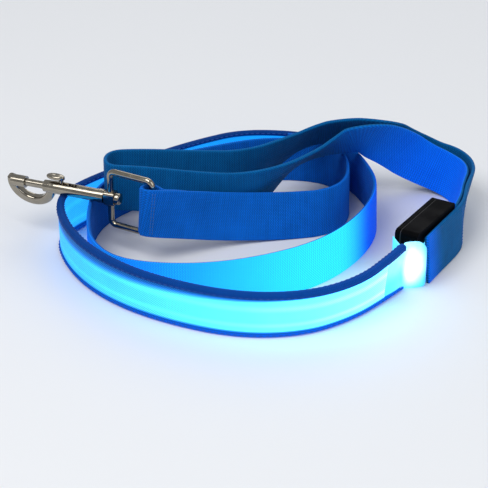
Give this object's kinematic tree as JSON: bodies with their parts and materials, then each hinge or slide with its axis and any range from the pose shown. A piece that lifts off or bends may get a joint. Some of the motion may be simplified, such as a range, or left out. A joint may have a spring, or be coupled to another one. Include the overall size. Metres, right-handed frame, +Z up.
{
  "type": "light-up dog leash",
  "caption": "Flat webbing dog leash with a glowing strip, a battery case and a hand loop, wound up on its edge, with a swivel bolt snap held by a wire eye ring.",
  "frame": {"origin": "on the surface the leash stands on, under the middle of its own box", "axes": "+Z up; +X along the longest extent of the wound leash, away from the snap; +Y away from the front of the lit strip"},
  "size_m": [0.2374, 0.1848, 0.0503],
  "materials": {
    "blue_webbing": "woven, ribbed across",
    "teal_webbing": "woven, ribbed across",
    "edge_binding": "woven tape",
    "reflective_mesh": "open mesh over the light guide",
    "thread": "sewing thread",
    "lit_guide": "translucent, glowing",
    "clear_vinyl": "clear flexible vinyl",
    "led": "clear lens, lit",
    "black_plastic": "fine texture",
    "black_rubber": "soft matte",
    "board_green": "solder mask",
    "steel": "plain",
    "nickel": "nickel plated, polished"
  },
  "bodies": {
    "leash": {"webbing_ring": "blue_webbing", "webbing_fold": "blue_webbing", "webbing_rise": "blue_webbing", "fold_stitching": "thread", "joint_stitching": "thread", "light_guide": "lit_guide", "outer_mesh": "reflective_mesh", "inner_mesh": "reflective_mesh", "top_binding": "edge_binding", "bottom_binding": "edge_binding", "clear_window": "clear_vinyl", "lamp_board": "board_green", "leds": "led", "led_lead": "black_rubber", "case_base": "black_plastic", "case_gasket": "black_rubber", "case_lid": "black_plastic", "case_screws": "steel", "circuit_board": "board_green", "cell_contact": "steel", "coin_cells": "steel", "cell_clip": "steel", "tact_switch": "black_plastic", "handle_webbing": "teal_webbing", "handle_stitching": "thread"},
    "ring": {"eye_ring": "nickel"},
    "snap": {"snap_body": "nickel", "swivel_post": "nickel", "swivel_washer": "nickel", "bolt_spring": "steel"},
    "bolt_group": {"bolt": "nickel", "thumb_knob": "nickel"},
    "button": {"push_button": "black_rubber"}
  },
  "joints": [
    {"name": "ring_hinge", "type": "hinge", "parent": "leash", "child": "ring", "pos_m": [-0.04403, -0.01239, 0.0286], "axis": [0, 0, 1], "range_deg": [-4, 100]},
    {"name": "snap_swivel", "type": "hinge", "parent": "ring", "child": "snap", "pos_m": [-0.06533, -0.00009, 0.0286], "axis": [-0.9272, 0.3746, 0], "range_deg": [-70, 90]},
    {"name": "bolt_slide", "type": "slide", "parent": "snap", "child": "bolt_group", "axis": [0.9272, -0.3746, 0], "range_m": [0, 0.0085], "stiffness_N_per_m": 600, "springref_m": -0.004, "deforming": ["bolt_spring"]},
    {"name": "button_press", "type": "slide", "parent": "leash", "child": "button", "axis": [0.8554, -0.518, 0], "range_m": [0, 0.0006], "stiffness_N_per_m": 2500, "springref_m": -0.0004}
  ]
}
